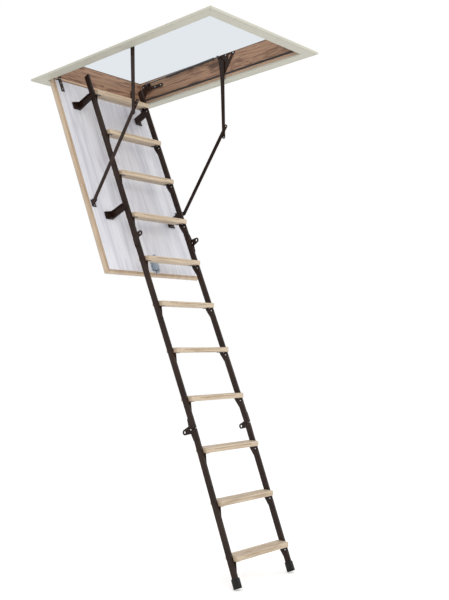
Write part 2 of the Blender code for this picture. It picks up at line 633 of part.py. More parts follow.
for fold, pivot in folds.items():
    for name, side in sides():
        fold_pin(fold, name, side, pivot, *sections["middle"])
feet(on_bottom, sections["bottom"][1])

bpy.context.view_layer.update()
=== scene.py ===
# %% [markdown]
# # A folding attic ladder
# A hatch box sits in the ceiling. Its insulated lid hangs open on two hinges, and a three-section
# steel ladder with wooden treads is bolted to the lid. The mechanical parts come in as a finished
# CAD frame, and this lesson gives them their surfaces and adds what a joiner and a fitter would:
# moulded trim, routed treads, screws and rivets.

# %% Load the frame
import json
from math import cos, pi, radians, sin

import bmesh
import bpy
from mathutils import Matrix, Vector


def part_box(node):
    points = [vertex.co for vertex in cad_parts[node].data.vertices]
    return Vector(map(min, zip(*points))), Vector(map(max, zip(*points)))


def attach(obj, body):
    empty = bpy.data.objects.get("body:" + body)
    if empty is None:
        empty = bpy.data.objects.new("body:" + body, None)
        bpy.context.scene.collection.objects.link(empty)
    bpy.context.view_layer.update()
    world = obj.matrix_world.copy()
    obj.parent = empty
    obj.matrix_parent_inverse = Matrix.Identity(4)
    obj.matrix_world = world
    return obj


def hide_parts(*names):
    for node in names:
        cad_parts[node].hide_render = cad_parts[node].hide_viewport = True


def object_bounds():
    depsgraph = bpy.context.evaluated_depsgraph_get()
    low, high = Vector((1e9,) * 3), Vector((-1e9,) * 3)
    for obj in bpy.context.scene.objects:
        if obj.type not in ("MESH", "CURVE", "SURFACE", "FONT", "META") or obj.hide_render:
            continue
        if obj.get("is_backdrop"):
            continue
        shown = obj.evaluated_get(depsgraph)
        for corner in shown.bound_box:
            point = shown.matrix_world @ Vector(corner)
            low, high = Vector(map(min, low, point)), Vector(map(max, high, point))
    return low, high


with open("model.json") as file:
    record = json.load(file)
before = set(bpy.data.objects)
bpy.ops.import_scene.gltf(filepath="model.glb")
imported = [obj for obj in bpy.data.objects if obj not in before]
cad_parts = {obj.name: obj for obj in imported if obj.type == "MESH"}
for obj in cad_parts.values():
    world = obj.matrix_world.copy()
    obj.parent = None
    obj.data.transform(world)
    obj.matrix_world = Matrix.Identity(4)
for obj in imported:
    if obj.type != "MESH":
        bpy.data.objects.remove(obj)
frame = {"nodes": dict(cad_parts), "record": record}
cad_low, cad_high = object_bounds()

# %% [markdown]
# Every place on the ladder is easiest to say as a distance down the slope and a distance off the
# lid. The joints in the frame's record give the hinge line and the two fold lines, so one small
# function turns such a pair into a point in the room.

# %% Places on the lid and the ladder
joints = {joint["name"]: joint for joint in frame["record"]["behaviour"]["joints"]}
HINGE = Vector(joints["lid_hinge"]["pos_m"])
FOLD_2 = Vector(joints["foot_section_fold"]["pos_m"])
SLOPE = radians(68.9)
LEAN = radians(2.0)                 # the bottom section hangs this much steeper
SPACING = 0.247
TREAD_1, STILE_UP = 0.158, 0.1386   # from the hinge line, down the lid and off it
FOLD_2_ALONG, FOLD_2_BACK = 1.862, 0.052    # from tread 1 to the second fold, and from that up to the treads
PANEL = 0.028                       # the lid's inner face
LADDER_HALF, TUBE_WIDE = 0.200, 0.015
SIDES = {"left": -1, "right": 1}
SECTIONS = (("lid", range(1, 5), 0.0), ("middle_section", range(5, 9), 0.0),
            ("bottom_section", range(9, 12), LEAN))     # body, its treads, how much steeper it hangs


def linked(name, data):
    """A new object in the scene."""
    made = bpy.data.objects.new(name, data)
    bpy.context.scene.collection.objects.link(made)
    return made


def direction(along, up, slope=SLOPE):
    """A vector on the lid as one in the room: along runs to the free end, up runs off its inner face."""
    return Vector((0, -along * cos(slope) - up * sin(slope), -along * sin(slope) + up * cos(slope)))


def on_lid(x, along, up):
    return HINGE + Vector((x, 0, 0)) + direction(along, up)


def tread_place(number):
    """The middle of a tread's underside line; treads 9 to 11 are on the steeper bottom section."""
    if number < 9:
        return on_lid(0, TREAD_1 + (number - 1) * SPACING, STILE_UP)
    from_fold = (number - 1) * SPACING - FOLD_2_ALONG
    return FOLD_2 + direction(from_fold, FOLD_2_BACK, SLOPE + LEAN)


OUT = direction(0, 1)
print("tread 1 is", round(-tread_place(1).z, 3), "m below the ceiling, the feet", round(-cad_low.z, 3))

# %% [markdown]
# The viewer stands low and to the left of the open side. A camera is placed by where it is, where
# it looks and how much it is tilted; the turn matrix is built from its own three axes.

# %% Camera
CAMERA_PLACE = (-3.0551, -3.6432, -1.5491)
camera_data = bpy.data.cameras.new("camera")
camera_data.lens = 50.97
camera = linked("camera", camera_data)
yaw, pitch, roll = radians(48.57), radians(4.387), radians(-1.836)
ahead = Vector((sin(yaw) * cos(pitch), cos(yaw) * cos(pitch), sin(pitch)))
level_right = Vector((cos(yaw), -sin(yaw), 0))
level_up = level_right.cross(ahead)
right = level_right * cos(roll) + level_up * sin(roll)
above = level_up * cos(roll) - level_right * sin(roll)
turn = Matrix((right, above, -ahead)).transposed().to_4x4()
camera.matrix_world = Matrix.Translation(CAMERA_PLACE) @ turn
bpy.context.scene.camera = camera

# %% [markdown]
# ## Shader maths
# Materials are written as sums. A small class wraps a socket and overloads the operators, so that
# `grain * 0.6 + knots` adds its own Math nodes, and one method adds any other node.

# %% A socket that can be calculated with


class Socket:
    def __init__(self, finish, output):
        self.finish = finish
        self.output = output

    def maths(self, operation, *others):
        values = [self, *others]
        return self.finish.node("ShaderNodeMath", {"operation": operation}, dict(enumerate(values)))

    def __add__(self, other):
        return self.maths("ADD", other)

    def __sub__(self, other):
        return self.maths("SUBTRACT", other)

    def __rsub__(self, other):
        return self.finish.number(other).maths("SUBTRACT", self)

    def __mul__(self, other):
        return self.maths("MULTIPLY", other)

    def __pow__(self, other):
        return self.maths("POWER", other)

    __radd__ = __add__
    __rmul__ = __mul__

    def above(self, edge, soft):
        """0 below the edge and 1 above it, changing over the soft width."""
        return self.finish.node("ShaderNodeMapRange", {"interpolation_type": "SMOOTHSTEP"},
                                {"Value": self, "From Min": edge - soft / 2, "From Max": edge + soft / 2})

    def below(self, edge, soft):
        return 1 - self.above(edge, soft)


class Finish:
    """A material, and the ways to add nodes to it."""

    def __init__(self, name, roughness=0.5, metallic=0.0, coat=0.0):
        self.material = bpy.data.materials.new(name)
        self.material.use_nodes = True
        self.tree = self.material.node_tree
        self.shader = self.tree.nodes["Principled BSDF"]
        self.shader.inputs["Roughness"].default_value = roughness
        self.shader.inputs["Metallic"].default_value = metallic
        self.shader.inputs["Coat Weight"].default_value = coat
        self.place = self.node("ShaderNodeTexCoord", {}, {}, "Object")

    def node(self, kind, settings, sockets, output=0):
        made = self.tree.nodes.new(kind)
        for name, value in settings.items():
            setattr(made, name, value)
        for name, value in sockets.items():
            if isinstance(value, Socket):
                self.tree.links.new(value.output, made.inputs[name])
            else:
                made.inputs[name].default_value = value
        return Socket(self, made.outputs[output])

    def number(self, value):
        return self.node("ShaderNodeMath", {"operation": "ADD"}, {0: value, 1: 0.0})

    def axis(self, name):
        return self.node("ShaderNodeSeparateXYZ", {}, {0: self.place}, name)

    def scaled(self, x, y, z):
        """The place stretched along each axis, so that one noise can be long in one direction."""
        return self.node("ShaderNodeMapping", {}, {"Vector": self.place, "Scale": (x, y, z)})

    def noise(self, place, scale, detail=3.0, rough=0.55, distortion=0.0):
        return self.node("ShaderNodeTexNoise", {}, {"Vector": place, "Scale": scale, "Detail": detail,
                                                    "Roughness": rough, "Distortion": distortion})

    def blend(self, amount, first, second):
        """A colour between two colours."""
        sockets = {"Factor": amount, 6: (*first, 1) if isinstance(first, tuple) else first,
                   7: (*second, 1) if isinstance(second, tuple) else second}
        return self.node("ShaderNodeMix", {"data_type": "RGBA"}, sockets, 2)

    def bump(self, height, strength, distance):
        return self.node("ShaderNodeBump", {}, {"Height": height, "Strength": strength, "Distance": distance})

    def set(self, **sockets):
        for name, value in sockets.items():
            entry = self.shader.inputs[name.replace("_", " ")]
            if isinstance(value, Socket):
                self.tree.links.new(value.output, entry)
            else:
                entry.default_value = value
        return self


# %% [markdown]
# ## Wood
# Planed softwood shows three things: long fine streaks along the board, wider bands where the
# growth rings were cut, and knots that the rings flow round. All three come from noises that are
# stretched along the grain; the knots are cells of a Voronoi pattern whose distance also pushes
# the rings aside.

# %% Planed wood


def planed_wood(name, pale, dark, along, ring_scale, knots=0.0, roughness=0.55, contrast=1.0):
    """Wood whose grain runs along "x" or "y" or "slope", with rings and, where knots is over 0, knots."""
    wood = Finish(name, roughness)
    stretch = {"x": (1.6, 34, 34), "y": (34, 1.6, 34), "slope": (34, 3.0, 3.0)}[along]
    streaks = wood.noise(wood.scaled(*stretch), 9.0, 4.0, 0.6)
    near = {"x": (2.2, 9, 9), "y": (9, 2.2, 9), "slope": (9, 2.4, 2.4)}[along]
    cells = wood.node("ShaderNodeTexVoronoi", {"feature": "F1"}, {"Vector": wood.scaled(*near), "Scale": 1.35,
                                                                  "Randomness": 0.9}, "Distance")
    knot = cells.below(0.17, 0.14) * knots
    flow = {"x": (0.9, 15, 15), "y": (15, 0.9, 15), "slope": (11, 0.9, 0.9)}[along]
    drift = wood.noise(wood.scaled(*flow), 1.4, 3.0, 0.6, 0.9)
    rings = ((drift + cells * 0.10 * knots) * ring_scale).maths("SINE") * 0.5 + 0.5
    tone = (rings ** 2.2) * 0.45 * contrast + streaks * 0.85 * contrast - 0.26
    colour = wood.blend(tone.above(0.45, 0.9), pale, dark)
    heart = tuple(channel * 0.42 for channel in dark)
    colour = wood.blend(knot, colour, heart)
    height = streaks * 0.7 - rings * 0.3
    wood.set(Base_Color=colour, Roughness=streaks * 0.18 + (roughness - 0.09),
             Normal=wood.bump(height, 0.25, 0.0006))
    wood.colour = colour
    return wood


SEAL_TOP, SHADED_TOP_EDGE = 0.0145, 0.1256


def box_wood(name, along):
    """The hatch boards: warm knotty pine, paler on the band below the seal, with painted shade along the top
    edge.
    """
    wood = planed_wood(name, (0.375, 0.225, 0.140), (0.105, 0.044, 0.025), along, 62, knots=0.8)
    height = wood.axis("Z")
    band = height.below(SEAL_TOP, 0.002)
    colour = wood.blend(band * 0.5, wood.colour, (0.52, 0.38, 0.27))
    # painted shade: a dark line along the boards' top edge, where shadow falls
    colour = wood.blend(height.above(SHADED_TOP_EDGE, 0.0015) * 0.9, colour, (0.05, 0.035, 0.03))
    return wood.set(Base_Color=colour)


side_pine = box_wood("pine_along_the_side", "y")
end_pine = box_wood("pine_across_the_end", "x")
tread_wood = planed_wood("pale_tread_wood", (0.50, 0.40, 0.29), (0.31, 0.225, 0.145), "x", 40,
                         roughness=0.5, contrast=0.9)
rim_wood = planed_wood("pale_rim_wood", (0.50, 0.39, 0.28), (0.36, 0.255, 0.17), "slope", 26,
                       knots=0.25, contrast=0.8)

# %% [markdown]
# ## Boards, paint and foam
# The lid's inner board has a white foil with an embossed grain, which catches the light in long
# faint streaks down the lid. The trim is painted by roller, so it keeps a little orange peel.

# %% Painted and faced boards


def faced_board():
    board = Finish("white_faced_board", 0.42)
    long_grain = board.scaled(11, 0.5, 0.5)
    streaks = board.noise(long_grain, 3.2, 5.0, 0.62, 1.0)
    cloud = board.noise(board.scaled(5, 1.6, 1.6), 1.5, 2.0)
    fine = board.noise(board.scaled(300, 16, 16), 3.0, 3.0, 0.6)
    tone = streaks.above(0.54, 0.24) * 0.6 + cloud.above(0.5, 0.5) * 0.4
    colour = board.blend(tone, (0.67, 0.67, 0.705), (0.46, 0.46, 0.51))
    return board.set(Base_Color=colour, Roughness=streaks * 0.2 + 0.32,
                     Normal=board.bump(streaks + fine * 0.5, 0.35, 0.0008))


def roller_paint():
    paint = Finish("beige_trim_paint", 0.45)
    peel = paint.noise(paint.place, 420.0, 2.0, 0.5)
    cloud = paint.noise(paint.place, 3.0, 3.0)
    brushed = paint.noise(paint.scaled(4, 40, 40), 4.0, 3.0)
    colour = paint.blend(cloud * 0.5 + brushed * 0.5, (0.50, 0.485, 0.41), (0.41, 0.40, 0.33))
    return paint.set(Base_Color=colour, Roughness=peel * 0.15 + 0.38, Normal=paint.bump(peel, 0.12, 0.0004))


def foam_board():
    foam = Finish("pale_foam", 0.9)
    beads = foam.node("ShaderNodeTexVoronoi", {"feature": "DISTANCE_TO_EDGE"},
                      {"Vector": foam.place, "Scale": 260.0}, "Distance")
    colour = foam.blend(beads.above(0.05, 0.08), (0.62, 0.62, 0.58), (0.86, 0.86, 0.82))
    return foam.set(Base_Color=colour, Normal=foam.bump(beads, 0.4, 0.0008))


white_board, trim_paint, foam = faced_board(), roller_paint(), foam_board()

# %% [markdown]
# ## Metals, rubber and plastic
# The ladder's tubes are powder coated in a very dark brown: a fine orange peel, a soft gloss, and
# specks of dust. Zinc shows a faint spangle. The struts' cylinders are enamelled and shinier.

# %% Coated and plated metal


def powder_coat():
    coat = Finish("dark_brown_powder_coat", 0.3)
    peel = coat.noise(coat.place, 900.0, 2.0, 0.5)
    cloud = coat.noise(coat.place, 7.0, 4.0, 0.6)
    dust = coat.noise(coat.place, 2200.0, 1.0).above(0.68, 0.06)
    colour = coat.blend(cloud.above(0.5, 0.5), (0.014, 0.006, 0.004), (0.028, 0.015, 0.010))
    colour = coat.blend(dust * 0.2, colour, (0.10, 0.08, 0.07))
    return coat.set(Base_Color=colour, Specular_IOR_Level=0.16, Roughness=peel * 0.12 + cloud * 0.1 + 0.17,
                    Normal=coat.bump(peel, 0.2, 0.0003))


def zinc_plate(name="zinc_plate", tint=(0.66, 0.68, 0.71), shade=(0.42, 0.44, 0.48)):
    zinc = Finish(name, 0.34, 0.85)
    spangle = zinc.node("ShaderNodeTexVoronoi", {}, {"Vector": zinc.place, "Scale": 320.0}, "Distance")
    wear = zinc.noise(zinc.place, 60.0, 4.0)
    return zinc.set(Base_Color=zinc.blend(spangle * 0.8 + wear * 0.3, tint, shade), Roughness=wear * 0.3 + 0.2,
                    Normal=zinc.bump(wear, 0.08, 0.0003))


def enamel():
    black = Finish("black_enamel", 0.2, 0.0, 0.6)
    smear = black.noise(black.scaled(60, 6, 60), 4.0, 3.0)
    return black.set(Base_Color=black.blend(smear, (0.012, 0.012, 0.016), (0.035, 0.035, 0.045)),
                     Roughness=smear * 0.25 + 0.12, Normal=black.bump(smear, 0.04, 0.0002))


def seal_rubber():
    """Black sponge rubber; along the hinge end the strip is a pale wooden stop bead instead of bare rubber."""
    rubber = Finish("seal_rubber", 0.75)
    pores = rubber.noise(rubber.place, 700.0, 2.0)
    hinge_end = rubber.axis("Y").above(HINGE.y - 0.004, 0.001)
    colour = rubber.blend(pores, (0.010, 0.010, 0.010), (0.030, 0.028, 0.028))
    colour = rubber.blend(hinge_end, colour, (0.66, 0.48, 0.34))
    return rubber.set(Base_Color=colour, Normal=rubber.bump(pores, 0.3, 0.0004))


def moulded_plastic():
    plastic = Finish("black_moulded_plastic", 0.5)
    grain = plastic.noise(plastic.place, 1100.0, 2.0)
    scuffs = plastic.noise(plastic.scaled(40, 40, 200), 5.0, 4.0).above(0.62, 0.1)
    colour = plastic.blend(scuffs * 0.5, (0.005, 0.005, 0.005), (0.02, 0.02, 0.02))
    return plastic.set(Base_Color=colour, Specular_IOR_Level=0.2, Roughness=grain * 0.2 + 0.3,
                       Normal=plastic.bump(grain, 0.25, 0.0003))


coated, zinc, black_enamel = powder_coat(), zinc_plate(), enamel()
grey_blue_zinc = zinc_plate("grey_blue_zinc", (0.46, 0.52, 0.58), (0.20, 0.24, 0.29))
rubber, plastic = seal_rubber(), moulded_plastic()

# %% [markdown]
# Each CAD piece keeps its exact shape and is given its finish by name.

# %% Finishes for the CAD pieces


def finish_for(node):
    """The first name that a node's own name starts with decides; the rest is coated steel."""
    named = (("frame_wall_left", side_pine), ("frame_wall_right", side_pine), ("frame_wall", end_pine),
             ("ceiling_trim", trim_paint), ("tread", tread_wood), ("lid_rim", rim_wood),
             ("lid_seal", rubber), ("lid_outer_skin", white_board), ("lid_inner_panel", white_board),
             ("lid_insulation", foam), ("foot", plastic), ("strut_cylinder", black_enamel),
             ("strut_rod", black_enamel), ("strike", zinc), ("latch", grey_blue_zinc),
             ("lid_hinge_pin", zinc))
    for start, finish in named:
        if node.startswith(start):
            return finish
    return coated


for node, piece in frame["nodes"].items():
    piece.data.materials.clear()
    piece.data.materials.append(finish_for(node).material)

# %% [markdown]
# ## Making pieces
# A new piece is a mesh with its place already in its points. A copy of a CAD board is welded, its
# flat faces are merged, and its edges are eased with Bevel, as sandpaper would.

# %% Helpers for new pieces


def show(name, mesh, finish, body, replaced=()):
    """Put a finished mesh on its body, under its finish."""
    piece = linked(name, mesh)
    if finish:
        mesh.materials.clear()
        mesh.materials.append(finish.material)
    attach(piece, body)
    if replaced:
        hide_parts(*replaced)
    return piece


def as_mesh(name, shape):
    """The mesh of a drawn shape, and the shape freed."""
    mesh = bpy.data.meshes.new(name)
    shape.to_mesh(mesh)
    shape.free()
    return mesh


def evaluated(source):
    """A plain smooth mesh of an object with its modifiers, and the object removed."""
    bpy.context.view_layer.update()
    graph = bpy.context.evaluated_depsgraph_get()
    mesh = bpy.data.meshes.new_from_object(source.evaluated_get(graph))
    bpy.data.objects.remove(source)
    mesh.shade_smooth()
    mesh.set_sharp_from_angle(angle=radians(35))
    return mesh


def eased(node, width, body):
    """A copy of a CAD board with rounded edges, which stands for the board."""
    shape = bmesh.new()
    shape.from_mesh(frame["nodes"][node].data)
    bmesh.ops.remove_doubles(shape, verts=shape.verts, dist=1e-5)
    bmesh.ops.dissolve_limit(shape, angle_limit=radians(1), verts=shape.verts, edges=shape.edges)
    source = linked(node + "_source", as_mesh(node + "_eased", shape))
    bevel = source.modifiers.new("ease", "BEVEL")
    bevel.width = width
    bevel.segments = 2
    bevel.limit_method = "ANGLE"
    bevel.angle_limit = radians(40)
    return show(node + "_board", evaluated(source), finish_for(node), body, [node])


for end in ("left", "right", "hinge_end"):
    eased(f"frame_wall_{end}", 0.0010, "hatch")
for name in SIDES:
    eased(f"foot_{name}", 0.0025, "bottom_section")
eased("lid_outer_skin", 0.0008, "lid")
eased("lid_inner_panel", 0.0008, "lid")

# %% [markdown]
# ## Moulded trim
# Four boards are planed with a rounded outer edge and a fine bead near it, then mitred. Each board
# is the same section drawn at both corners and joined, with a hair of a gap left at the mitre.

# %% Trim boards
TRIM_LOW, TRIM_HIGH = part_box("ceiling_trim")
MITRE_GAP = 0.0004
section = [(0.0, 0.0), (0.0, -0.0060), (0.0008, -0.0082), (0.0024, -0.0096), (0.0045, -0.0100),
           (0.0105, -0.0100), (0.0112, -0.0088), (0.0124, -0.0088), (0.0131, -0.0100), (0.0600, -0.0100),
           (0.0622, -0.0094), (0.0632, -0.0080), (0.0632, 0.0)]
corners = [(TRIM_LOW.x, TRIM_LOW.y), (TRIM_HIGH.x, TRIM_LOW.y), (TRIM_HIGH.x, TRIM_HIGH.y),
           (TRIM_LOW.x, TRIM_HIGH.y)]


def closed_loft(shape, rows):
    """Add walls between rows of points to a shape, and close both ends."""
    rings = [[shape.verts.new(point) for point in row] for row in rows]
    count = len(rows[0])
    for first, second in zip(rings, rings[1:]):
        for i in range(count):
            j = (i + 1) % count
            shape.faces.new((first[i], first[j], second[j], second[i]))
    shape.faces.new(rings[0][::-1])
    shape.faces.new(rings[-1])


trim = bmesh.new()
for start, end in zip(corners, corners[1:] + corners[:1]):
    first, second = Vector((*start, 0)), Vector((*end, 0))
    run = (second - first).normalized()
    inward = Vector((-run.y, run.x, 0))
    closed_loft(trim, [[corner + inward * inset + run * way * (inset + MITRE_GAP)
                        + Vector((0, 0, TRIM_HIGH.z + z)) for inset, z in section]
                       for corner, way in ((first, 1), (second, -1))])
bmesh.ops.recalc_face_normals(trim, faces=trim.faces)
trim_mesh = as_mesh("trim", trim)
show("trim_mouldings", trim_mesh, trim_paint, "hatch", ["ceiling_trim"])
print("trim boards:", len(trim_mesh.polygons), "faces")

# %% [markdown]
# ## Treads
# Eleven equal boards at one spacing are a job for Geometry Nodes. The board itself is drawn once:
# a section with rounded edges, whose front groove and grip grooves stop short of the ends, so it
# is a loft from a plain section to a grooved one and back. The tree sets it on a line of points,
# one line for each section of the ladder, because each section folds on its own.

# %% One tread board
TREAD_HALF, ROUTED_HALF, ROUT_RUN = 0.1847, 0.128, 0.004
FRONT, BACK, THICK = -0.034, 0.036, 0.024
GRIP_GROOVES, GROOVE_DEPTH = (-0.004, -0.012, -0.020), 0.0013


def tread_section(depth):
    """The tread's outline in y and z, with its grooves cut to a depth."""
    edge = 0.0035
    outline = [(FRONT + edge, 0), (BACK - edge, 0), (BACK - edge * 0.3, edge * 0.3), (BACK, edge),
               (BACK, THICK - edge), (BACK - edge * 0.3, THICK - edge * 0.3), (BACK - edge, THICK)]
    for middle in GRIP_GROOVES:
        outline += [(middle + 0.0018, THICK), (middle + 0.0008, THICK - depth),
                    (middle - 0.0008, THICK - depth), (middle - 0.0018, THICK)]
    outline += [(FRONT + edge, THICK), (FRONT + edge * 0.3, THICK - edge * 0.3), (FRONT, THICK - edge)]
    groove = THICK * 0.64
    outline += [(FRONT, groove + 0.0022), (FRONT + depth * 2.4, groove + 0.0012),
                (FRONT + depth * 2.4, groove - 0.0012), (FRONT, groove - 0.0022)]
    outline += [(FRONT, edge), (FRONT + edge * 0.3, edge * 0.3)]
    return outline


board = bmesh.new()
stations = ((-TREAD_HALF, 0), (-ROUTED_HALF - ROUT_RUN, 0), (-ROUTED_HALF, GROOVE_DEPTH),
            (ROUTED_HALF, GROOVE_DEPTH), (ROUTED_HALF + ROUT_RUN, 0), (TREAD_HALF, 0))
closed_loft(board, [[(x, y, z) for y, z in tread_section(depth)] for x, depth in stations])
bmesh.ops.recalc_face_normals(board, faces=board.faces)
board_mesh = as_mesh("tread_board", board)

# %% A tree that sets a shape along a line


def new_tree(name, inputs):
    """A geometry tree with its output and named inputs; inputs are (name, socket type, default)."""
    tree = bpy.data.node_groups.new(name, "GeometryNodeTree")
    tree.interface.new_socket("Geometry", in_out="INPUT", socket_type="NodeSocketGeometry")
    tree.interface.new_socket("Geometry", in_out="OUTPUT", socket_type="NodeSocketGeometry")
    for label, kind, default in inputs:
        socket = tree.interface.new_socket(label, in_out="INPUT", socket_type=kind)
        if default is not None:
            socket.default_value = default
    return tree, tree.nodes.new("NodeGroupInput"), tree.nodes.new("NodeGroupOutput")


def wire(tree, *links):
    """Join sockets: each link is (from node, its output, to node, its input)."""
    for source, output, target, entry in links:
        tree.links.new(source.outputs[output], target.inputs[entry])


def row_tree():
    """Equal pieces at equal steps along a straight line."""
    tree, given, result = new_tree("pieces_in_a_row", (
        ("Piece", "NodeSocketObject", None), ("Count", "NodeSocketInt", 4),
        ("First", "NodeSocketVector", None), ("Step", "NodeSocketVector", None),
        ("Tilt", "NodeSocketFloat", 0.0), ("Finish", "NodeSocketMaterial", None)))
    line = tree.nodes.new("GeometryNodeMeshLine")
    piece = tree.nodes.new("GeometryNodeObjectInfo")
    turned = tree.nodes.new("ShaderNodeCombineXYZ")
    placed = tree.nodes.new("GeometryNodeInstanceOnPoints")
    real = tree.nodes.new("GeometryNodeRealizeInstances")
    coloured = tree.nodes.new("GeometryNodeSetMaterial")
    wire(tree, (given, "Count", line, "Count"), (given, "First", line, "Start Location"),
         (given, "Step", line, "Offset"), (given, "Piece", piece, "Object"),
         (given, "Tilt", turned, "X"), (line, 0, placed, "Points"),
         (piece, "Geometry", placed, "Instance"), (turned, 0, placed, "Rotation"), (placed, 0, real, 0),
         (real, 0, coloured, "Geometry"), (given, "Finish", coloured, "Material"), (coloured, 0, result, 0))
    return tree


def grown(name, base, tree, **inputs):
    """The plain mesh that a tree makes on a base mesh."""
    holder = linked(name, base)
    modifier = holder.modifiers.new("grow", "NODES")
    modifier.node_group = tree
    for item in tree.interface.items_tree:
        if item.in_out == "INPUT" and item.name in inputs:
            modifier[item.identifier] = inputs[item.name]
    return evaluated(holder)


# %% Treads of each section
pieces_in_a_row = row_tree()
board_object = bpy.data.objects.new("board", board_mesh)
for body, numbers, tilt in SECTIONS:
    first, second = tread_place(numbers[0]), tread_place(numbers[1])
    mesh = grown(f"{body}_treads", bpy.data.meshes.new("empty"), pieces_in_a_row, Piece=board_object,
                 Count=len(numbers), First=first, Step=second - first, Tilt=tilt, Finish=tread_wood.material)
    show(f"{body}_treads", mesh, None, body, [f"tread_{number:02d}" for number in numbers])
    print(body, "treads:", len(mesh.polygons), "faces")
bpy.data.objects.remove(board_object)

# %% [markdown]
# ## Screws, bolts and rivets
# A fastener is a place and the way its head faces. The places go into a mesh as loose points with
# a "facing" attribute, and a tree sets one head on each point, turned to face that way and spun by
# a random angle from a fixed seed, as a fitter leaves them.

# %% A domed head with a socket in it
HEAD_SIDES = 14


def head_mesh(dome, socket_sides):
    """A screw head of radius 1: a low dome with a socket pressed into it."""
    shape = bmesh.new()
    levels = [(1.0, -0.25), (1.0, 0.12)] + [(cos(radians(a)), 0.12 + dome * sin(radians(a))) for a in (30, 55)]
    rings = [[shape.verts.new((r * cos(2 * pi * i / HEAD_SIDES), r * sin(2 * pi * i / HEAD_SIDES), z))
              for i in range(HEAD_SIDES)] for r, z in levels]
    for low, high in zip(rings, rings[1:]):
        for i in range(HEAD_SIDES):
            j = (i + 1) % HEAD_SIDES
            shape.faces.new((low[i], low[j], high[j], high[i]))
    shape.faces.new(rings[0][::-1])
    top = shape.faces.new(rings[-1])
    if socket_sides:
        bmesh.ops.inset_region(shape, faces=[top], thickness=0.16)
        bmesh.ops.inset_region(shape, faces=[top], thickness=0.04, depth=-0.22)
    return as_mesh("head", shape)


def head_tree():
    """One head on every point, facing the way that the point says."""
    tree, given, result = new_tree("heads_on_points", (
        ("Head", "NodeSocketObject", None), ("Radius", "NodeSocketFloat", 0.004), ("Seed", "NodeSocketInt", 7),
        ("Finish", "NodeSocketMaterial", None)))
    head = tree.nodes.new("GeometryNodeObjectInfo")
    facing = tree.nodes.new("GeometryNodeInputNamedAttribute")
    facing.data_type = "FLOAT_VECTOR"
    facing.inputs["Name"].default_value = "facing"
    aligned = tree.nodes.new("FunctionNodeAlignRotationToVector")
    aligned.axis = "Z"
    spin = tree.nodes.new("FunctionNodeRandomValue")
    spin.data_type = "FLOAT"
    spin.inputs["Max"].default_value = 2 * pi
    turn_by = tree.nodes.new("ShaderNodeCombineXYZ")
    as_turn = tree.nodes.new("FunctionNodeEulerToRotation")
    rotated = tree.nodes.new("FunctionNodeRotateRotation")
    rotated.rotation_space = "LOCAL"
    placed = tree.nodes.new("GeometryNodeInstanceOnPoints")
    real = tree.nodes.new("GeometryNodeRealizeInstances")
    coloured = tree.nodes.new("GeometryNodeSetMaterial")
    floats = [socket for socket in spin.outputs if socket.type == "VALUE"]
    tree.links.new(floats[0], turn_by.inputs["Z"])
    wire(tree, (given, "Head", head, "Object"), (facing, "Attribute", aligned, "Vector"),
         (given, "Seed", spin, "Seed"), (turn_by, 0, as_turn, 0), (aligned, 0, rotated, "Rotation"),
         (as_turn, 0, rotated, "Rotate By"), (given, "Geometry", placed, "Points"),
         (head, "Geometry", placed, "Instance"), (rotated, 0, placed, "Rotation"),
         (given, "Radius", placed, "Scale"), (placed, 0, real, 0), (real, 0, coloured, "Geometry"),
         (given, "Finish", coloured, "Material"), (coloured, 0, result, 0))
    return tree


heads_on_points = head_tree()
screw_head = bpy.data.objects.new("screw_head", head_mesh(0.42, 6))
rivet_head = bpy.data.objects.new("rivet_head", head_mesh(0.75, 0))


def fasteners(name, body, spots, radius, head, finish=None):
    """Heads of one radius at every (point, facing) of a body, as one mesh."""
    points = bpy.data.meshes.new(name + "_points")
    points.from_pydata([point for point, _ in spots], [], [])
    facing = points.attributes.new("facing", "FLOAT_VECTOR", "POINT")
    for entry, (_, way) in zip(facing.data, spots):
        entry.vector = way
    mesh = grown(name, points, heads_on_points, Head=head, Radius=radius, Seed=7,
                 Finish=(finish or zinc).material)
    return show(name, mesh, None, body)


# %% [markdown]
# The places follow the metalwork: the brackets on the box, the hinge leaves, the bracket feet on
# the lid, and under every tread a rivet through each gusset and two screws up into the wood.

# %% Fasteners of the hatch box
ARM_PIVOT = Vector(joints["upper_arm_pivot_right"]["pos_m"])
ANCHOR_LOW, ANCHOR_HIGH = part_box("strut_anchor_right")
WALL_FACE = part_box("arm_bracket_right")[1].x - 0.0030   # inner face of the 3 mm bracket plates
BRACKET_SCREWS = ((-0.076, 0.1205), (-0.024, 0.1190), (0.019, 0.1195), (0.012, 0.052), (-0.006, 0.047),
                  (0.008, 0.036))
ANCHOR_SCREWS_LOW, ANCHOR_SCREWS_HIGH = (0.016, 0.064), (0.042, 0.098)
leaf_low, leaf_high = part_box("lid_hinge_wall_leaf_right")
strike_low, strike_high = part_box("strike_plate")
bracket_screws, leaf_screws = [], []
for side in SIDES.values():
    inward = Vector((-side, 0, 0))
    for y, z in BRACKET_SCREWS:
        bracket_screws.append((Vector((side * WALL_FACE, ARM_PIVOT.y + y, z)), inward))
    for y in ANCHOR_SCREWS_LOW:
        bracket_screws.append((Vector((side * WALL_FACE, ANCHOR_LOW.y + y, 0.080)), inward))
    for z in ANCHOR_SCREWS_HIGH:
        bracket_screws.append((Vector((side * WALL_FACE, ANCHOR_HIGH.y - 0.010, z)), inward))
    leaf_middle, strike_middle = (leaf_low.x + leaf_high.x) / 2, (strike_low.z + strike_high.z) / 2
    for z in (0.034, 0.056):
        leaf_screws.append((Vector((side * leaf_middle, HINGE.y + 0.0026, z)), Vector((0, -1, 0))))
    leaf_screws.append((Vector((side * 0.0165, strike_high.y, strike_middle)), Vector((0, 1, 0))))
fasteners("bracket_screws", "hatch", bracket_screws, 0.0038, screw_head)
fasteners("leaf_screws", "hatch", leaf_screws, 0.0028, screw_head)

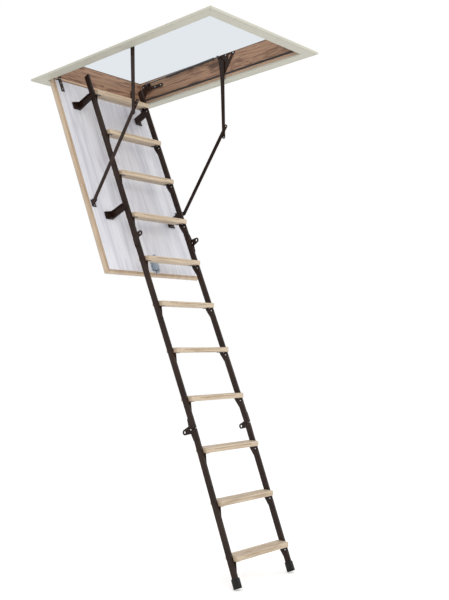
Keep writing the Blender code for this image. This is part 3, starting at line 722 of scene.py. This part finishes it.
# %% Fasteners of the lid
LID_SCREWS = ((0.286, (0.032, 0.070), 0.0023),      # the hinge straps: across, along, and their thickness
              (0.0222, (1.098, 1.124), 0.0023),     # the latch's plate
              (0.299, (0.761, 0.785), 0.0028))      # the feet of the lower arms
STILE_BRACKETS = (0.165, 0.836)
lid_screws, lid_bolts = [], []
for side in SIDES.values():
    for across, places, plate in LID_SCREWS:
        for along in places:
            lid_screws.append((on_lid(side * across, along, PANEL + plate), OUT))
    for along in STILE_BRACKETS:
        lid_bolts.append((on_lid(side * 0.2273, along, PANEL + 0.0033), OUT))
        for step in (-0.010, 0.010):
            lid_bolts.append((on_lid(side * 0.2033, along + step, STILE_UP), Vector((side, 0, 0))))
fasteners("lid_screws", "lid", lid_screws, 0.0030, screw_head)
fasteners("lid_bracket_bolts", "lid", lid_bolts, 0.0058, screw_head, coated)

# %% Rivets and screws of the treads
INNER_FACE = LADDER_HALF - TUBE_WIDE - 0.002    # the gussets' inner faces
RIVET_BACK, RIVET_DOWN = -0.016, -0.014
SCREW_ACROSS, FLANGE, SCREWS_BACK = 0.1685, -0.0023, (-0.016, 0.014)
for body, numbers, tilt in SECTIONS:
    rivets, screws = [], []
    leaning = Matrix.Rotation(tilt, 3, "X")
    downwards = leaning @ Vector((0, 0, -1))
    for number in numbers:
        place = tread_place(number)
        for side in SIDES.values():
            rivet = leaning @ Vector((side * INNER_FACE, RIVET_BACK, RIVET_DOWN))
            rivets.append((place + rivet, Vector((-side, 0, 0))))
            for y in SCREWS_BACK:
                screws.append((place + leaning @ Vector((side * SCREW_ACROSS, y, FLANGE)), downwards))
    fasteners(f"{body}_rivets", body, rivets, 0.0036, rivet_head)
    fasteners(f"{body}_tread_screws", body, screws, 0.0034, screw_head)
for head in (screw_head, rivet_head):
    bpy.data.objects.remove(head)

# %% [markdown]
# ## Plugs in the tube ends
# A cut tube is closed with a moulded plug. Its head overhangs the wall of the tube a little, and
# Bevel rounds it.

# %% Tube plugs
ABOVE_TREAD_1 = 0.120
PLUG_HEAD = (0.0077, 0.0152), 0.0003, 0.0026        # half width and half depth, bottom, top
PLUG_SHANK = (0.0056, 0.0131), -0.016, 0.0010
plugs = bmesh.new()
top_end = on_lid(0, TREAD_1 - ABOVE_TREAD_1, STILE_UP)
lie = Matrix.Translation(top_end) @ Matrix.Rotation(SLOPE, 4, "X")
for side in SIDES.values():
    for half, low, high in (PLUG_HEAD, PLUG_SHANK):
        size = Matrix.Diagonal((half[0] * 2, high - low, half[1] * 2, 1))
        middle = Matrix.Translation((side * (LADDER_HALF - TUBE_WIDE / 2), (low + high) / 2, 0))
        bmesh.ops.create_cube(plugs, size=1.0, matrix=lie @ middle @ size)
plug_source = linked("plug_source", as_mesh("plugs", plugs))
rounding = plug_source.modifiers.new("round", "BEVEL")
rounding.width = 0.0008
rounding.segments = 2
show("stile_top_plugs", evaluated(plug_source), plastic, "lid")

# %% [markdown]
# ## The room
# The floor is a plain pale sheet at the feet. A pale card over the opening stands for the light
# attic, and white ones around it for the ceiling; they only show from below and light nothing. The
# light is a white room with one large soft lamp in front and a weaker one on the other side.

# %% Floor and attic light
FLOOR_REACH, CEILING_REACH = 14, 4
FLOOR_LEVEL, CEILING_LEVEL, ATTIC_LEVEL = cad_low.z - 0.0005, 0.0002, cad_high.z + 0.0005


def sheet(name, low, high, z):
    """A flat rectangle of the room, between two corners."""
    shape = bmesh.new()
    size = Matrix.Diagonal((high[0] - low[0], high[1] - low[1], 1, 1))
    middle = Matrix.Translation(((low[0] + high[0]) / 2, (low[1] + high[1]) / 2, z))
    bmesh.ops.create_grid(shape, x_segments=1, y_segments=1, size=0.5, matrix=middle @ size)
    made = linked(name, as_mesh(name, shape))
    made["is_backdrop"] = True
    return made


floor_finish = Finish("pale_floor", 0.9)
floor_cloud = floor_finish.noise(floor_finish.place, 0.8, 2.0)
floor_finish.set(Base_Color=floor_finish.blend(floor_cloud, (0.93, 0.93, 0.93), (0.96, 0.96, 0.96)),
                 Emission_Color=(1, 1, 1, 1), Emission_Strength=0.12)
floor = sheet("floor", (-FLOOR_REACH, -FLOOR_REACH), (FLOOR_REACH, FLOOR_REACH), FLOOR_LEVEL)
floor.data.materials.append(floor_finish.material)


def one_sided_light(name, colour):
    """A light that shows from below only, and is clear from above."""
    made = Finish(name)
    clear = made.tree.nodes.new("ShaderNodeBsdfTransparent")
    glow = made.tree.nodes.new("ShaderNodeEmission")
    glow.inputs["Color"].default_value = (*colour, 1)
    either = made.tree.nodes.new("ShaderNodeMixShader")
    surface = made.tree.nodes.new("ShaderNodeNewGeometry")
    wire(made.tree, (surface, "Backfacing", either, 0), (clear, 0, either, 1), (glow, 0, either, 2),
         (either, 0, made.tree.nodes["Material Output"], 0))
    return made.material


def card(name, low, high, z, material):
    """A sheet that the camera sees and the light doesn't."""
    made = sheet(name, low, high, z)
    made.data.materials.append(material)
    made.visible_diffuse = made.visible_glossy = made.visible_shadow = made.visible_transmission = False


attic_light = one_sided_light("attic_light", (0.765, 0.805, 0.845))
ceiling_white = one_sided_light("ceiling_white", (1, 1, 1))
wall_low, wall_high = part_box("frame_wall_left"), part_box("frame_wall_right")
latch_wall, hinge_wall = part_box("frame_wall_latch_end"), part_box("frame_wall_hinge_end")
card("attic_card", (wall_low[1].x, latch_wall[1].y), (wall_high[0].x, hinge_wall[0].y), ATTIC_LEVEL,
     attic_light)
far = CEILING_REACH
for name, low, high in (("left", (-far, -far), (wall_low[0].x, far)),
                        ("right", (wall_high[1].x, -far), (far, far)),
                        ("latch_end", (wall_low[0].x, -far), (wall_high[1].x, latch_wall[0].y)),
                        ("hinge_end", (wall_low[0].x, hinge_wall[1].y), (wall_high[1].x, far))):
    card(f"ceiling_{name}", low, high, CEILING_LEVEL, ceiling_white)

# %% Lights
world = bpy.data.worlds.new("white_room")
bpy.context.scene.world = world
world.use_nodes = True
world.node_tree.nodes["Background"].inputs["Color"].default_value = (1, 1, 1, 1)
world.node_tree.nodes["Background"].inputs["Strength"].default_value = 1.0
bpy.context.scene.view_settings.view_transform = "Standard"
for name, spot, target, power, width in (("key", (-2.6, -4.6, 0.4), (0, -0.5, -0.8), 75, 2.6),
                                         ("fill", (3.2, -3.4, -0.6), (0, -0.6, -1.2), 18, 2.2)):
    lamp = bpy.data.lights.new(name, "AREA")
    lamp.energy = power
    lamp.size = width
    light = linked(name, lamp)
    light.location = spot
    light.rotation_euler = (Vector(target) - Vector(spot)).to_track_quat("-Z", "Y").to_euler()

# %% Sizes and finish
low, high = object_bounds()
print("grown by", [round(a - b, 4) for a, b in zip(high - low, cad_high - cad_low)])
